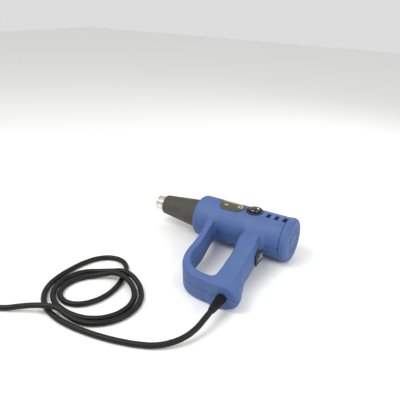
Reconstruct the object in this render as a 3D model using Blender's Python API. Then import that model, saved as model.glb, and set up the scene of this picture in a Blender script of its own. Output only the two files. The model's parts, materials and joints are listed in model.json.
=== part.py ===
"""Hand-held hot-air gun with a closed D-handle, lying on its right side with its cord loosely looped.

Gun frame, in millimetres: X runs along the barrel from the outlet (0) to the rear, Y is the gun's up,
away from the handle, and Z points out of its left side. The barrel axis is Y = Z = 0.
The gun frame is rolled and lifted as a whole, so that the rear cap and the handle's heel both rest on
the bench, and moved so that the object's box is centred over the origin.
"""
import math

import bmesh
import bpy
from mathutils import Euler, Matrix, Vector

MM = 0.001
GAP = 0.3                      # clearance between pieces that touch
WALL = 2.6                     # housing wall

# ---- driving dimensions (gun frame) -------------------------------------------------------------
LENGTH = 285.5                 # outlet to rear face
BODY_R = 39.0
BODY_FRONT = 97.0
BODY_REAR = 271.0
CAP_R = 40.0
BARREL_FRONT = 17.5
BARREL_FRONT_R = 18.6
BARREL_REAR_R = 27.6
COLLAR_R = 26.0
TUBE_R = 14.8
TUBE_BORE_R = 13.3
HANDLE_BOTTOM = -193.0
HANDLE_HALF = 23.0
GUARD_HALF = 22.0
DIAL_X = 208.5
DIAL_Y = 1.0
DIAL_SEAT = 38.0
WINDOW_XS = (237.0, 252.0, 267.0)
WINDOW_WIDTH = 7.0
WINDOW_SPAN = (-8.6, 4.2)
SWITCH_X = 251.5
SWITCH_Y = -75.0
EXIT_X = 246.0
MOTOR_R = 18.0
MOTOR_FRONT = 150.0
MOTOR_REAR = 200.0
FAN_X = 235.0
FAN_R = 31.0
SHAFT_R = 1.6
CORD_R = 4.25
BODY_SIDES = 40                # facets round the body and the rear cap

# ---- resting pose -------------------------------------------------------------------------------
ROLL = math.asin((CAP_R - HANDLE_HALF) / -HANDLE_BOTTOM) * 0.985
LIFT = CAP_R
BOX_TOP = CAP_R
BOX_BOTTOM = HANDLE_BOTTOM * math.cos(ROLL) - (HANDLE_HALF - 1.0) * math.sin(ROLL)
BENCH_SHIFT = Vector((-LENGTH / 2, -(BOX_TOP + BOX_BOTTOM) / 2, 0.0))

# ---- outlines -----------------------------------------------------------------------------------
# Guard of the D-handle: front strut and bottom bar, outer edge down and back, then inner edge home.
GUARD_OUTER = [(126, -22), (136, -50), (144, -80), (149, -111), (151, -133), (155, -152), (162, -168),
               (170, -179), (181, -187), (195, -191.5), (211, -193), (240, -193)]
GUARD_INNER = [(240, -177), (212, -177.5), (199, -176), (187, -172), (177, -164.5), (169, -154),
               (165, -142), (163, -129), (161.5, -108), (157, -84), (151, -58), (146, -22)]
# Grip stations: height, front edge, crease between flat side and rounded back, rear edge, half width.
GRIP = [(-22, 206, 232, 240, 20.5), (-52, 207, 236, 243, 21.5), (-68, 209, 241, 247.5, 22.5),
        (-86, 215, 243, 251, 23), (-109, 219, 244, 254.5, 23), (-131, 221, 246, 256, 23),
        (-150, 223, 248, 260, 23), (-168, 223.5, 249, 268, 23), (-181, 224, 250, 273, 23),
        (-193, 226, 251, 273, 23)]
SCREWS = [(121, -30), (183, -31), (121, 30), (180, 31), (256.5, 30), (173.5, -172.5), (225, -112),
          (233, -184)]

# ---- cord route on the bench ----------------------------------------------------------------------
# Bench millimetres: X and Y as in the gun frame, Z up from the bench.
LOOP_CENTRE = (78.0, -268.0)
BOOT_END = (EXIT_X, -225.0, 0.0)          # gun frame
# The lead leaves the heel of the grip and lies down on the bench.
CORD_START = [(246, -229.5, 21.4), (246, -243, 19), (244, -261, 14.8), (237.5, -279, 10.4),
              (226, -295, 7), (210.5, -308.5, 5), (190, -319, 4.4), (166, -327.5, 4.4),
              (140, -334, 4.4)]
# A wide arc round the left of the turns, hooked back under them into a small inner curl.
CORD_HOOK = [(112, -338.5, 4.4), (84, -340.5, 4.4), (56, -338.5, 4.4), (30, -330.5, 4.4),
             (8, -315.5, 4.4), (-7, -293, 4.4), (-13, -266, 4.4), (-12.5, -238, 4.4),
             (-8, -211, 4.4), (2.5, -188, 4.4), (20, -174, 4.4), (40, -172, 4.4),
             (57.5, -181.5, 4.4), (70, -199.5, 4.4), (78.5, -221, 4.4), (83.5, -243, 4.4),
             (83.2, -264, 4.4), (77, -283, 4.4), (65.5, -298, 4.4), (49.5, -305.5, 4.4),
             (33, -303.5, 4.4), (19.8, -293.5, 4.4), (13.3, -278, 4.4), (14, -260.5, 4.4),
             (21.5, -244.5, 4.4), (34, -231.5, 5.2), (48.5, -222.5, 8.8), (63, -217.8, 13.2)]
# Two loose turns about LOOP_CENTRE: angle in degrees, radius, height.
CORD_LOOPS = [(88, 51, 13.8), (66, 51, 10.6), (44, 51, 5.8), (20, 51, 4.4), (-6, 51, 4.4),
              (-34, 51, 4.4), (-62, 51.4, 4.4), (-90, 53.4, 4.4), (-114, 58.5, 4.4),
              (-136, 67, 4.4), (-155, 74, 4.4), (-173, 77.3, 4.4), (-191, 77.8, 4.4),
              (-209, 75, 4.4), (-228, 69, 4.6), (-246, 64, 8.6), (-262, 62, 13.4),
              (-277, 61.6, 13.8), (-296, 61.6, 10.2), (-315, 61.8, 5.4), (-336, 62, 4.4),
              (-360, 62, 4.4), (-385, 62, 4.4), (-410, 62, 4.4), (-433, 62.4, 5.6),
              (-453, 63.4, 10.2)]
# Over the lead and away to the tied coil.
CORD_END = [(53, -330.5, 13.6), (36.5, -336.3, 13.9), (18.5, -344.3, 12.2), (1, -353, 8.8),
            (-15, -361.5, 5.2), (-29.5, -370, 4.4), (-41, -379.3, 4.4), (-51.5, -390, 4.4)]
CORD_STEP = 14.0
# Stored coil: the cord runs in along its tangent, and out again towards the plug.
COIL_CENTRE = (-106.5, -379.0)
COIL_R = 47.0
COIL_HEIGHT = 20.0
COIL_EXIT = math.radians(215.0)
TAIL = [(31, 14.8), (38, 16.6), (46, 18.2), (54, 19.0), (62, 19.3)]   # distance past the coil, height
PLUG_R = 19.0
PLUG_START = 62.3
PLUG_LENGTH = 64.0
PIN_LENGTH = 19.0
PIN_SPACING = 19.0

# ---- colours ------------------------------------------------------------------------------------
COLOURS = {
    "blue_case": ((0.125, 0.205, 0.46), 0.45, 0.0),
    "dark_sleeve": ((0.075, 0.07, 0.06), 0.6, 0.0),
    "black_plastic": ((0.015, 0.015, 0.017), 0.4, 0.0),
    "label_film": ((0.09, 0.085, 0.06), 0.4, 0.0),
    "vent_plastic": ((0.02, 0.03, 0.09), 0.5, 0.0),
    "steel": ((0.75, 0.74, 0.72), 0.28, 1.0),
    "heater_wire": ((0.35, 0.3, 0.26), 0.4, 1.0),
    "ceramic": ((0.8, 0.77, 0.7), 0.7, 0.0),
    "mica": ((0.6, 0.5, 0.35), 0.5, 0.0),
    "board": ((0.02, 0.16, 0.07), 0.5, 0.0),
    "filter_foam": ((0.03, 0.03, 0.03), 0.95, 0.0),
    "cord_rubber": ((0.012, 0.012, 0.012), 0.5, 0.0),
    "brass": ((0.72, 0.55, 0.25), 0.3, 1.0),
}


def material(name):
    """One Principled material for each finish, made once."""
    found = bpy.data.materials.get(name)
    if found:
        return found
    colour, roughness, metallic = COLOURS[name]
    made = bpy.data.materials.new(name)
    made.use_nodes = True
    shader = made.node_tree.nodes["Principled BSDF"]
    shader.inputs["Base Color"].default_value = (*colour, 1.0)
    shader.inputs["Roughness"].default_value = roughness
    shader.inputs["Metallic"].default_value = metallic
    made.diffuse_color = (*colour, 1.0)
    return made


def clear_scene():
    for thing in list(bpy.data.objects):
        bpy.data.objects.remove(thing, do_unlink=True)


def make_rig():
    """The gun frame: everything on the gun hangs under this empty."""
    rig = bpy.data.objects.new("gun_frame", None)
    rig.rotation_euler = Euler((ROLL, 0.0, 0.0))
    rig.location = (BENCH_SHIFT + Vector((0.0, 0.0, LIFT))) * MM
    bpy.context.collection.objects.link(rig)
    return rig


def add_object(name, bm, finish, parent, origin=(0.0, 0.0, 0.0), cutter=False):
    """Turn a bmesh in millimetres into an object whose origin is at the given point."""
    bmesh.ops.recalc_face_normals(bm, faces=bm.faces[:])
    bmesh.ops.translate(bm, verts=bm.verts[:], vec=-Vector(origin))
    bmesh.ops.scale(bm, verts=bm.verts[:], vec=(MM, MM, MM))
    mesh = bpy.data.meshes.new(name)
    bm.to_mesh(mesh)
    bm.free()
    mesh.shade_smooth()
    mesh.set_sharp_from_angle(angle=math.radians(32))
    made = bpy.data.objects.new(name, mesh)
    bpy.context.collection.objects.link(made)
    made.parent = parent
    made.location = Vector(origin) * MM
    if cutter:
        made.hide_render = True
        made.display_type = "WIRE"
    else:
        mesh.materials.append(material(finish))
    return made


# ---- shape builders -----------------------------------------------------------------------------
def turned(profile, axis="X", centre=(0.0, 0.0, 0.0), segments=32):
    """Turn a profile of (along, radius) points; a profile that starts and ends off the axis is a ring."""
    bm = bmesh.new()
    on_axis = profile[0][1] == 0.0
    turn = {"X": Matrix.Identity(3), "Y": Matrix.Rotation(math.pi / 2, 3, "Z"),
            "Z": Matrix.Rotation(-math.pi / 2, 3, "Y")}[axis]
    rings = []
    for along, radius in profile:
        ring = []
        for k in range(1 if radius == 0.0 else segments):
            angle = 2 * math.pi * k / segments
            point = Vector((along, radius * math.cos(angle), radius * math.sin(angle)))
            ring.append(bm.verts.new(turn @ point + Vector(centre)))
        rings.append(ring)
    pairs = list(zip(rings, rings[1:]))
    if not on_axis:
        pairs.append((rings[-1], rings[0]))
    for first, second in pairs:
        for k in range(segments):
            corners = [first[k % len(first)], first[(k + 1) % len(first)],
                       second[(k + 1) % len(second)], second[k % len(second)]]
            kept = list(dict.fromkeys(corners))
            bm.faces.new(kept)
    return bm


def lofted(rings):
    """Join rings of points, one after the other, and close both ends."""
    bm = bmesh.new()
    made = [[bm.verts.new(point) for point in ring] for ring in rings]
    count = len(made[0])
    for first, second in zip(made, made[1:]):
        for k in range(count):
            bm.faces.new((first[k], first[(k + 1) % count], second[(k + 1) % count], second[k]))
    bm.faces.new(made[0])
    bm.faces.new(made[-1])
    bm.normal_update()
    bmesh.ops.triangulate(bm, faces=[f for f in bm.faces if len(f.verts) > 4])
    return bm


def offset_outline(points, distance):
    """Move each corner of a closed anticlockwise outline inwards by the distance."""
    moved = []
    for k, point in enumerate(points):
        here = Vector(point)
        before = (here - Vector(points[k - 1])).normalized()
        after = (Vector(points[(k + 1) % len(points)]) - here).normalized()
        normal_a = Vector((-before.y, before.x))
        normal_b = Vector((-after.y, after.x))
        middle = (normal_a + normal_b).normalized()
        moved.append(here + middle * (distance / max(middle.dot(normal_a), 0.5)))
    return moved


def plate(outline, half, edge):
    """A flat plate about Z = 0 with its long edges chamfered."""
    inner = offset_outline(outline, edge)
    layers = [(-half, inner), (-half + edge, outline), (half - edge, outline), (half, inner)]
    return lofted([[(x, y, z) for x, y in shape] for z, shape in layers])


def box(low, high):
    bm = bmesh.new()
    bmesh.ops.create_cube(bm, size=1.0)
    size = Vector(high) - Vector(low)
    bmesh.ops.scale(bm, verts=bm.verts[:], vec=size)
    bmesh.ops.translate(bm, verts=bm.verts[:], vec=(Vector(high) + Vector(low)) / 2)
    return bm


def merged(shapes):
    """Several separate shapes in one mesh, for cutters."""
    whole = bmesh.new()
    for shape in shapes:
        bmesh.ops.recalc_face_normals(shape, faces=shape.faces[:])
        piece = bpy.data.meshes.new("piece")
        shape.to_mesh(piece)
        shape.free()
        whole.from_mesh(piece)
        bpy.data.meshes.remove(piece)
    return whole


def combine(target, operation, tool):
    change = target.modifiers.new(operation.lower(), "BOOLEAN")
    change.operation = operation
    change.solver = "EXACT"
    change.object = tool


def bake(thing):
    """Replace an object's mesh by what its modifiers make of it."""
    depsgraph = bpy.context.evaluated_depsgraph_get()
    mesh = bpy.data.meshes.new_from_object(thing.evaluated_get(depsgraph))
    thing.modifiers.clear()
    thing.data = mesh


def cylinder(axis, centre, start, end, radius, segments=16):
    profile = [(start, 0.0), (start, radius), (end, radius), (end, 0.0)]
    return turned(profile, axis, centre, segments)


# ---- housing ------------------------------------------------------------------------------------
def body_profile(inset):
    """Outline of the barrel-shaped body with its rounded front shoulder."""
    front = BODY_FRONT + inset
    radius = BODY_R - inset
    shoulder = 10.0 - inset * 0.5
    rear = BODY_REAR + (10.0 if inset else 0.0)
    points = [(front, 0.0)]
    for k in range(4, -1, -1):
        angle = math.pi / 2 * k / 4
        points.append((front + shoulder * (1 - math.sin(angle)) * 0.6,
                       radius - shoulder * (1 - math.cos(angle))))
    return points + [(rear, radius), (rear, 0.0)]


def grip_ring(station, inset):
    height, front, crease, rear, half = station
    front += inset
    rear -= inset
    half -= inset
    corner = 4.0
    upper = [(front, half - corner), (front + corner * 0.3, half - corner * 0.3), (front + corner, half)]
    for k in range(6):
        angle = math.pi / 2 * k / 6
        upper.append((crease + (rear - crease) * math.sin(angle), half * math.cos(angle)))
    lower = [(x, -z) for x, z in reversed(upper)]
    return [(x, height, z) for x, z in upper + [(rear, 0.0)] + lower]


def grip_shape(inset):
    stations = [list(station) for station in GRIP]
    if inset:
        stations[-1][0] += inset
    return lofted([grip_ring(station, inset) for station in stations])


def guard_shape(inset):
    outline = GUARD_OUTER + GUARD_INNER
    if inset:
        outline = offset_outline(outline, inset)
        outline[0].y = outline[-1].y = GUARD_OUTER[0][1] + 4.0
        for k in (len(GUARD_OUTER) - 1, len(GUARD_OUTER)):
            outline[k].x = GUARD_OUTER[-1][0]
    return plate(outline, GUARD_HALF - inset, 4.0 - inset * 0.8)


def label_outline(margin):
    """Slanted plate that wraps the body: distance along the barrel, and arc length up from the side."""
    return offset_outline([(147, -14.5), (151, -16.5), (181, -15), (187, -9), (190, 1), (186, 8),
                           (172, 27), (127, 27)], -margin)


def label_shell(inner, outer, margin):
    """The label's outline wrapped round the body, between two radii."""
    outline = label_outline(margin)
    steps = 8
    left, right = [], []
    low, high = min(p[1] for p in outline), max(p[1] for p in outline)
    for k in range(steps + 1):
        level = low + (high - low) * min(max(k / steps, 0.001), 0.999)
        crossings = []
        for a, b in zip(outline, outline[1:] + outline[:1]):
            if (a[1] - level) * (b[1] - level) < 0:
                share = (level - a[1]) / (b[1] - a[1])
                crossings.append(a[0] + (b[0] - a[0]) * share)
        left.append((min(crossings), level))
        right.append((max(crossings), level))
    rings = []
    for (x0, level), (x1, _) in zip(left, right):
        angle = level / BODY_R
        across = Vector((0.0, math.sin(angle), math.cos(angle)))
        ring = []
        for x, radius in ((x0, inner), (x1, inner), (x1, outer), (x0, outer)):
            ring.append(Vector((x, 0.0, 0.0)) + across * radius)
        rings.append(ring)
    return lofted(rings)


def window_boxes(low, high, margin):
    half = WINDOW_WIDTH / 2 - margin
    bottom, top = WINDOW_SPAN[0] + margin, WINDOW_SPAN[1] - margin
    return [box((x - half, bottom, low), (x + half, top, high)) for x in WINDOW_XS]


def build_housing(rig):
    """Two hollow clamshell halves that meet on the plane Z = 0."""
    outer = add_object("housing_outer", turned(body_profile(0.0), segments=BODY_SIDES), None, rig,
                       cutter=True)
    grip = add_object("grip_outer", grip_shape(0.0), None, rig, cutter=True)
    guard = add_object("guard_outer", guard_shape(0.0), None, rig, cutter=True)
    boss_centre = (DIAL_X, DIAL_Y, 0.0)
    boss = add_object("dial_boss", cylinder("Z", boss_centre, 30.0, DIAL_SEAT, 16.0, 32), None, rig,
                      cutter=True)
    for tool in (grip, guard, boss):
        combine(outer, "UNION", tool)
    inner = add_object("housing_inner", turned(body_profile(WALL), segments=BODY_SIDES), None, rig,
                       cutter=True)
    grip_in = add_object("grip_inner", grip_shape(WALL), None, rig, cutter=True)
    guard_in = add_object("guard_inner", guard_shape(WALL), None, rig, cutter=True)
    for tool in (grip_in, guard_in):
        combine(inner, "UNION", tool)
    columns = [cylinder("Z", (x, y, 0.0), -60.0, 60.0, 4.6, 12) for x, y in SCREWS]
    column_tool = add_object("screw_columns", merged(columns), None, rig, cutter=True)
    combine(inner, "DIFFERENCE", column_tool)
    combine(outer, "DIFFERENCE", inner)

    seats = [cylinder("X", (0, 0, 0), BODY_FRONT - 5, BODY_FRONT + 8, COLLAR_R + GAP, 48),
             cylinder("Z", (DIAL_X, DIAL_Y, 0), DIAL_SEAT, 60.0, 16.2, 32),
             box((SWITCH_X + 0.4, SWITCH_Y - 14.5, -10.5), (SWITCH_X + 20, SWITCH_Y + 14.5, 10.5)),
             cylinder("Y", (EXIT_X, 0, 0), HANDLE_BOTTOM - 5, HANDLE_BOTTOM + 8, 7.3, 24)]
    seats += window_boxes(30.0, 60.0, 0.0)
    for x, y in SCREWS:
        seats.append(turned([(-60, 0.0), (-60, 3.5), (-15.0, 3.5), (-15.0, 1.9), (13.0, 1.9), (13.0, 0.0)],
                            "Z", (x, y, 0), 12))
    holes = [cylinder("Z", (DIAL_X, DIAL_Y, 0), 28.0, DIAL_SEAT + 1, 3.5, 16),
             box((SWITCH_X - 16, SWITCH_Y - 12.3, -8.3), (SWITCH_X + 1, SWITCH_Y + 12.3, 8.3))]
    for name, shapes in (("housing_seats", seats), ("housing_holes", holes)):
        tool = add_object(name, merged(shapes), None, rig, cutter=True)
        combine(outer, "DIFFERENCE", tool)
    label_cut = label_shell(BODY_R - 0.9, BODY_R + 3.0, 0.3)
    recess = add_object("label_recess", label_cut, None, rig, cutter=True)
    combine(outer, "DIFFERENCE", recess)
    bake(outer)

    for name, low, high in (("housing_left", GAP / 2, 90.0), ("housing_right", -90.0, -GAP / 2)):
        half = outer.copy()
        half.data = outer.data.copy()
        half.name = name
        half.hide_render = False
        half.display_type = "TEXTURED"
        half.data.materials.clear()
        half.data.materials.append(material("blue_case"))
        bpy.context.collection.objects.link(half)
        side = add_object(name + "_space", box((-20, -260, low), (400, 90, high)), None, rig, cutter=True)
        combine(half, "INTERSECT", side)


# ---- heater and barrel --------------------------------------------------------------------------
def build_heater(rig):
    sleeve = [(BARREL_FRONT, 15.9), (BARREL_FRONT, 17.8), (BARREL_FRONT + 1.0, BARREL_FRONT_R),
              (BODY_FRONT - GAP, BARREL_REAR_R), (BODY_FRONT - GAP, COLLAR_R), (104.0, COLLAR_R),
              (104.0, 24.0), (95.0, 24.0), (21.0, 16.2)]
    add_object("barrel_sleeve", turned(sleeve, segments=36), "dark_sleeve", rig)

    tube = add_object("outlet_tube", turned([(0.0, TUBE_BORE_R), (0.0, 14.2), (7.0, 14.2), (8.0, TUBE_R),
                      (90.0, TUBE_R), (90.0, 22.0), (91.5, 22.0), (91.5, TUBE_BORE_R)], segments=32),
                      "steel", rig)
    slot = box((3.0, -20.0, -1.6), (12.0, -10.0, 1.6))
    combine(tube, "DIFFERENCE", add_object("tube_slot", slot, None, rig, cutter=True))

    liner = [(12.0, 12.6), (12.0, 13.0), (90.0, 13.0), (90.0, 12.6)]
    add_object("mica_liner", turned(liner, segments=24), "mica", rig)
    flange = [(91.8, 12.4), (91.8, 23.2), (95.5, 23.2), (95.5, 12.4)]
    add_object("heater_flange", turned(flange, segments=32), "ceramic", rig)

    arm, half = 10.4, 1.4
    cross = [(half, arm), (-half, arm), (-half, half), (-arm, half), (-arm, -half), (-half, -half),
             (-half, -arm), (half, -arm), (half, -half), (arm, -half), (arm, half), (half, half)]
    add_object("heater_core", lofted([[(x, y, z) for y, z in cross] for x in (18.0, 99.0)]), "ceramic",
               rig)
    add_coil_wire(rig)
    cutout = cylinder("X", (0, 17.5, 0), 96.2, 103.0, 5.0, 20)
    add_object("thermal_cutout", cutout, "steel", rig)


def add_coil_wire(rig):
    """Resistance wire wound round the ceramic core."""
    radius, wire, start, end, pitch, per_turn = 11.75, 0.55, 24.0, 84.0, 10.0, 10
    count = int((end - start) / pitch * per_turn)
    curve = bpy.data.curves.new("heating_coil", "CURVE")
    curve.dimensions = "3D"
    spline = curve.splines.new("POLY")
    spline.points.add(count - 1)
    for k in range(count):
        angle = 2 * math.pi * k / per_turn
        x = start + pitch * k / per_turn
        spline.points[k].co = (x * MM, radius * math.cos(angle) * MM, radius * math.sin(angle) * MM, 1.0)
    curve.bevel_depth = wire * MM
    curve.bevel_resolution = 0
    curve.use_fill_caps = True
    coil = bpy.data.objects.new("heating_coil", curve)
    curve.materials.append(material("heater_wire"))
    bpy.context.collection.objects.link(coil)
    coil.parent = rig


# ---- motor and fan ------------------------------------------------------------------------------
def build_motor(rig):
    can = [(MOTOR_FRONT, 2.0), (MOTOR_FRONT, 6.0), (MOTOR_FRONT + 2, 6.0), (MOTOR_FRONT + 2, 17.0),
           (MOTOR_FRONT + 3, MOTOR_R), (MOTOR_REAR, MOTOR_R), (MOTOR_REAR, 2.0)]
    add_object("motor_can", turned(can, segments=28), "steel", rig)
    end_cap = [(MOTOR_REAR + GAP, 2.0), (MOTOR_REAR + GAP, 17.0), (MOTOR_REAR + 4, 17.0),
               (MOTOR_REAR + 6, 6.0), (MOTOR_REAR + 9, 5.0), (MOTOR_REAR + 9, 2.0)]
    add_object("motor_end_cap", turned(end_cap, segments=28), "black_plastic", rig)

    rim = turned([(152.0, 33.0), (152.0, 36.0), (166.0, 36.0), (166.0, 33.0)], segments=40)
    bracket = add_object("motor_bracket", rim, "black_plastic", rig)
    inner_r = MOTOR_R + GAP
    hub = turned([(154.0, inner_r), (154.0, inner_r + 2), (166.0, inner_r + 2), (166.0, inner_r)],
                 segments=28)
    combine(bracket, "UNION", add_object("bracket_hub", hub, None, rig, cutter=True))
    for k in range(5):
        spoke = box((156.0, -1.0, inner_r + 1.0), (166.0, 1.0, 34.5))
        bmesh.ops.rotate(spoke, verts=spoke.verts[:], matrix=Matrix.Rotation(2 * math.pi * k / 5, 3, "X"))
        combine(bracket, "UNION", add_object("bracket_spoke_%d" % k, spoke, None, rig, cutter=True))

    centre = (FAN_X, 0.0, 0.0)
    shaft = cylinder("X", (0, 0, 0), 145.0, FAN_X + 10.0, SHAFT_R, 16)
    add_object("motor_shaft", shaft, "steel", rig, origin=centre)

    hub_profile = [(FAN_X - 8, 1.9), (FAN_X - 8, 9.0), (FAN_X + 5, 9.0), (FAN_X + 8, 5.0), (FAN_X + 8, 1.9)]
    fan = add_object("fan_impeller", turned(hub_profile, segments=28), "black_plastic", rig, origin=centre)
    blades = 7
    for k in range(blades):
        blade = fan_blade(2 * math.pi * k / blades)
        tool = add_object("fan_blade_%d" % k, blade, None, rig, origin=centre, cutter=True)
        combine(fan, "UNION", tool)


def fan_blade(turn):
    """One pitched blade, narrower in chord and flatter towards the tip."""
    rings = []
    for radius, pitch, chord in ((7.5, 52, 15.0), (15.0, 42, 15.5), (23.0, 34, 15.0), (FAN_R, 28, 13.0)):
        slope = math.radians(pitch)
        along = Vector((math.sin(slope), math.cos(slope), 0.0)) * chord / 2
        thick = Vector((math.cos(slope), -math.sin(slope), 0.0)) * 0.7
        middle = Vector((FAN_X - 1.0, 0.0, radius))
        ring = [middle - along - thick, middle + along - thick, middle + along + thick,
                middle - along + thick]
        rings.append([Matrix.Rotation(turn, 3, "X") @ point for point in ring])
    return lofted(rings)


# ---- rear cap -----------------------------------------------------------------------------------
def build_rear(rig):
    skirt_r = BODY_R - WALL - 4.0
    profile = [(BODY_REAR - 9, skirt_r - 2.2), (BODY_REAR - 9, skirt_r), (BODY_REAR + GAP, skirt_r),
               (BODY_REAR + GAP, CAP_R - 0.6), (BODY_REAR + 1.2, CAP_R), (LENGTH - 7.5, CAP_R),
               (LENGTH - 3.6, CAP_R - 1.3), (LENGTH - 1.1, CAP_R - 3.9), (LENGTH, CAP_R - 7.5),
               (LENGTH, 0.0), (LENGTH - 2.8, 0.0),
               (LENGTH - 2.8, skirt_r - 2.2)]
    order = profile[9:] + profile[:10]
    cap = add_object("rear_cap", turned(order[1:], segments=BODY_SIDES), "blue_case", rig)
    slots = []
    for k in range(24):
        slot = box((LENGTH - 8, -0.6, 12.0), (LENGTH + 5, 0.6, 27.5))
        turn = Matrix.Rotation(2 * math.pi * (k + 0.5) / 24, 3, "X")
        bmesh.ops.rotate(slot, verts=slot.verts[:], matrix=turn)
        slots.append(slot)
    combine(cap, "DIFFERENCE", add_object("intake_slots", merged(slots), None, rig, cutter=True))
    filter_disc = cylinder("X", (0, 0, 0), LENGTH - 7.0, LENGTH - 3.2, skirt_r - 2.6, 32)
    add_object("dust_filter", filter_disc, "filter_foam", rig)


# ---- controls -----------------------------------------------------------------------------------
def build_dial(rig):
    centre = (DIAL_X, DIAL_Y, 0.0)
    bezel = [(DIAL_SEAT + GAP, 10.8), (DIAL_SEAT + GAP, 14.8), (DIAL_SEAT + 1.8, 14.8),
             (DIAL_SEAT + 2.6, 13.8), (DIAL_SEAT + 2.6, 11.4), (DIAL_SEAT + 2.0, 10.8)]
    add_object("dial_bezel", turned(bezel, "Z", centre, 32), "black_plastic", rig)
    seat = DIAL_SEAT + GAP
    knob = [(seat, 3.2), (seat, 10.2), (seat + 3.4, 10.2), (seat + 5.2, 9.0), (seat + 6.6, 6.4),
            (seat + 7.2, 3.4), (seat + 7.4, 0.0), (seat + 3.6, 0.0), (seat + 3.6, 3.2)]
    order = knob[7:] + knob[:7]
    knob_shape = turned(order, "Z", centre, 32)
    add_object("dial_knob", knob_shape, "black_plastic", rig, origin=(DIAL_X, DIAL_Y, seat))
    shaft = cylinder("Z", centre, 31.3, seat + 3.3, 2.9, 16)
    add_object("pot_shaft", shaft, "steel", rig, origin=(DIAL_X, DIAL_Y, seat))
    add_object("potentiometer", cylinder("Z", centre, 23.9, 31.0, 8.0, 24), "steel", rig)
    add_object("control_board", box((193.0, -17.0, 22.0), (224.0, 17.0, 23.6)), "board", rig)


def build_label_and_windows(rig):
    add_object("label_plate", label_shell(BODY_R - 0.6, BODY_R, 0.0), "label_film", rig)
    screen = add_object("vent_insert", box((230.0, -9.9, 33.0), (270.0, 5.5, 34.6)),
                        "vent_plastic", rig)
    for k, tile in enumerate(window_boxes(34.0, BODY_R - 1.8, GAP)):
        combine(screen, "UNION", add_object("window_%d" % k, tile, None, rig, cutter=True))


def build_switch(rig):
    """Three-position rocker in a bezel on the back of the grip, just under the body."""
    x, y = SWITCH_X, SWITCH_Y
    seat = x + 0.4 + GAP
    body = add_object("switch_body", box((x - 15.5, y - 12.0, -8.0), (seat + 0.5, y + 12.0, 8.0)),
                      "black_plastic", rig)
    bezel = box((seat, y - 14.2, -10.2), (seat + 1.8, y + 14.2, 10.2))
    combine(body, "UNION", add_object("switch_bezel", bezel, None, rig, cutter=True))
    pocket = box((x - 7.5, y - 10.8, -6.6), (seat + 5.0, y + 10.8, 6.6))
    combine(body, "DIFFERENCE", add_object("switch_pocket", pocket, None, rig, cutter=True))
    pivot = (x - 1.0, y, 0.0)
    outline = [(-4.5, -3.0), (-4.5, 3.0), (-1.0, 9.8), (3.8, 10.0), (4.6, 9.6), (2.9, 0.0), (4.6, -9.6),
               (3.8, -10.0), (-1.0, -9.8)]
    rings = [[(pivot[0] + px, pivot[1] + py, z) for px, py in outline] for z in (-6.0, 6.0)]
    add_object("switch_rocker", lofted(rings), "black_plastic", rig, origin=pivot)


# ---- cord entry ---------------------------------------------------------------------------------
def build_cord_entry(rig):
    top = HANDLE_BOTTOM + WALL + GAP
    end = BOOT_END[1]
    profile = [(top + 3.0, 0.0), (top + 3.0, 9.0), (top, 9.0), (top, 7.0), (HANDLE_BOTTOM - 1.0, 7.0),
               (HANDLE_BOTTOM - 1.5, 8.2), (end + 8.0, 6.4), (end, 5.4), (end, 0.0)]
    add_object("strain_relief", turned(profile, "Y", (EXIT_X, 0, 0), 24), "cord_rubber", rig)
    inner_top = -150.0
    lead = cylinder("Y", (EXIT_X, 0, 0), top + 3.0 + GAP, inner_top, CORD_R - 0.6, 12)
    add_object("inner_cord", lead, "cord_rubber", rig)
    clamp = add_object("cord_clamp", box((EXIT_X - 12, -174.0, -7.5), (EXIT_X + 12, -166.0, 7.5)),
                       "black_plastic", rig)
    bore = cylinder("Y", (EXIT_X, 0, 0), -180.0, -160.0, CORD_R - 0.2, 16)
    combine(clamp, "DIFFERENCE", add_object("clamp_bore", bore, None, rig, cutter=True))
    holes = [cylinder("Z", (EXIT_X + side, -170.0, 0), -10.0, 10.0, 1.6, 10) for side in (-8.5, 8.5)]
    combine(clamp, "DIFFERENCE", add_object("clamp_holes", merged(holes), None, rig, cutter=True))
    for k, side in enumerate((-8.5, 8.5)):
        pin = turned([(-7.0, 0.0), (-7.0, 1.3), (7.8, 1.3), (7.8, 2.8), (9.8, 2.8), (9.8, 0.0)], "Z",
                     (EXIT_X + side, -170.0, 0), 12)
        add_object("clamp_screw_%d" % (k + 1), pin, "steel", rig)
    block = box((EXIT_X - 9, inner_top + GAP, -7.0), (EXIT_X + 5, inner_top + 16.0, 7.0))
    add_object("terminal_block", block, "ceramic", rig)
    for name, z in (("live_lead", 3.5), ("neutral_lead", -3.5)):
        start = inner_top + 16.0 + GAP
        rings = []
        for k in range(7):
            share = k / 6
            bend = math.sin(math.pi * share) * 2.0
            centre = Vector((EXIT_X - 2 - 3.0 * share - bend, start + (SWITCH_Y - 12.3 - start) * share, z))
            ring = []
            for j in range(8):
                angle = 2 * math.pi * j / 8
                ring.append(centre + Vector((math.cos(angle), 0.0, math.sin(angle))) * 1.3)
            rings.append(ring)
        add_object(name, lofted(rings), "brass", rig)


def build_screws(rig):
    for k, (x, y) in enumerate(SCREWS):
        pin = turned([(-17.8, 0.0), (-17.8, 3.1), (-15.3, 3.1), (-15.3, 1.5), (12.0, 1.5), (12.0, 0.0)],
                     "Z", (x, y, 0), 12)
        add_object("housing_screw_%d" % (k + 1), pin, "steel", rig)


# ---- cord on the bench --------------------------------------------------------------------------
def route_points():
    """The cord's own points from the strain relief to the coil, in bench millimetres."""
    points = [Vector(point) for point in CORD_START + CORD_HOOK]
    for angle, radius, height in CORD_LOOPS:
        turn = math.radians(angle)
        points.append(Vector((LOOP_CENTRE[0] + radius * math.cos(turn),
                              LOOP_CENTRE[1] + radius * math.sin(turn), height)))
    return points + [Vector(point) for point in CORD_END]


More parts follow.
